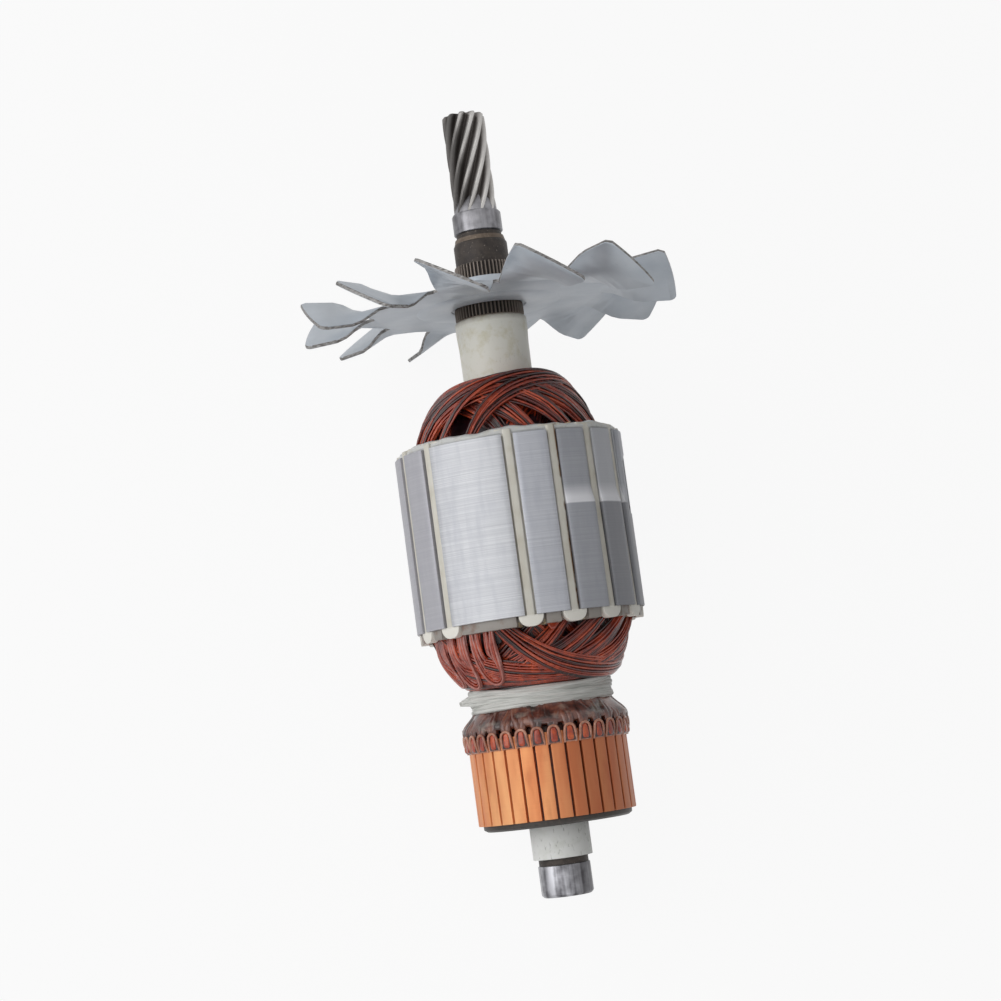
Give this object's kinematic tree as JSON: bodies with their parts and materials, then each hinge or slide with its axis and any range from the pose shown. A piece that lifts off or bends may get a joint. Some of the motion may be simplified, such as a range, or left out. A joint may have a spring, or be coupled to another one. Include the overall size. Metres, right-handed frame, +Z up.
{
  "type": "motor armature",
  "caption": "Wound armature of a series motor: slotted core on an insulated shaft with commutator, stamped cooling fan and helical pinion.",
  "frame": {"origin": "centre of the box's underside: the armature lies on two fan blades and the lower edge of the commutator", "axes": "+X along the floor from the commutator end to the pinion end, +Z up; the shaft rises about 11.9 degrees towards +X in the XZ plane"},
  "size_m": [0.1818, 0.0878, 0.0864],
  "materials": {
    "shaft_steel": "turned and ground steel, darkened between the seats",
    "fan_sheet": "satin blue-grey stamped sheet",
    "ivory_sleeve": "moulded ivory insulation",
    "pale_sleeve": "moulded pale grey insulation",
    "laminations": "turned stack of thin steel sheets",
    "end_plate": "whitish fibre plate",
    "slot_paper": "varnished insulating paper",
    "slot_wedge": "cream fibre strip",
    "winding": "varnished enamelled wire, deep red-brown",
    "lead_varnish": "varnished enamelled wire, brown",
    "lashing": "white cord, varnished",
    "moulding": "black moulding compound",
    "bar_copper": "turned copper"
  },
  "bodies": {
    "root": {"shaft": "shaft_steel", "sleeve_drive_end": "ivory_sleeve", "sleeve_commutator_end": "pale_sleeve", "fan": "fan_sheet", "lamination_stack": "laminations", "end_insulator_commutator": "end_plate", "end_insulator_drive": "end_plate", "slot_liners": "slot_paper", "slot_wedges": "slot_wedge", "commutator_moulding": "moulding", "commutator_leads": "lead_varnish", "lashing_cord": "lashing", "coil_01": "winding", "coil_02": "winding", "coil_03": "winding", "coil_04": "winding", "coil_05": "winding", "coil_06": "winding", "coil_07": "winding", "coil_08": "winding", "coil_09": "winding", "coil_10": "winding", "coil_11": "winding", "coil_12": "winding", "coil_13": "winding", "coil_14": "winding", "coil_15": "winding", "commutator_bar_01": "bar_copper", "commutator_bar_02": "bar_copper", "commutator_bar_03": "bar_copper", "commutator_bar_04": "bar_copper", "commutator_bar_05": "bar_copper", "commutator_bar_06": "bar_copper", "commutator_bar_07": "bar_copper", "commutator_bar_08": "bar_copper", "commutator_bar_09": "bar_copper", "commutator_bar_10": "bar_copper", "commutator_bar_11": "bar_copper", "commutator_bar_12": "bar_copper", "commutator_bar_13": "bar_copper", "commutator_bar_14": "bar_copper", "commutator_bar_15": "bar_copper", "commutator_bar_16": "bar_copper", "commutator_bar_17": "bar_copper", "commutator_bar_18": "bar_copper", "commutator_bar_19": "bar_copper", "commutator_bar_20": "bar_copper", "commutator_bar_21": "bar_copper", "commutator_bar_22": "bar_copper", "commutator_bar_23": "bar_copper", "commutator_bar_24": "bar_copper", "commutator_bar_25": "bar_copper", "commutator_bar_26": "bar_copper", "commutator_bar_27": "bar_copper", "commutator_bar_28": "bar_copper", "commutator_bar_29": "bar_copper", "commutator_bar_30": "bar_copper", "commutator_bar_31": "bar_copper", "commutator_bar_32": "bar_copper"}
  },
  "joints": []
}
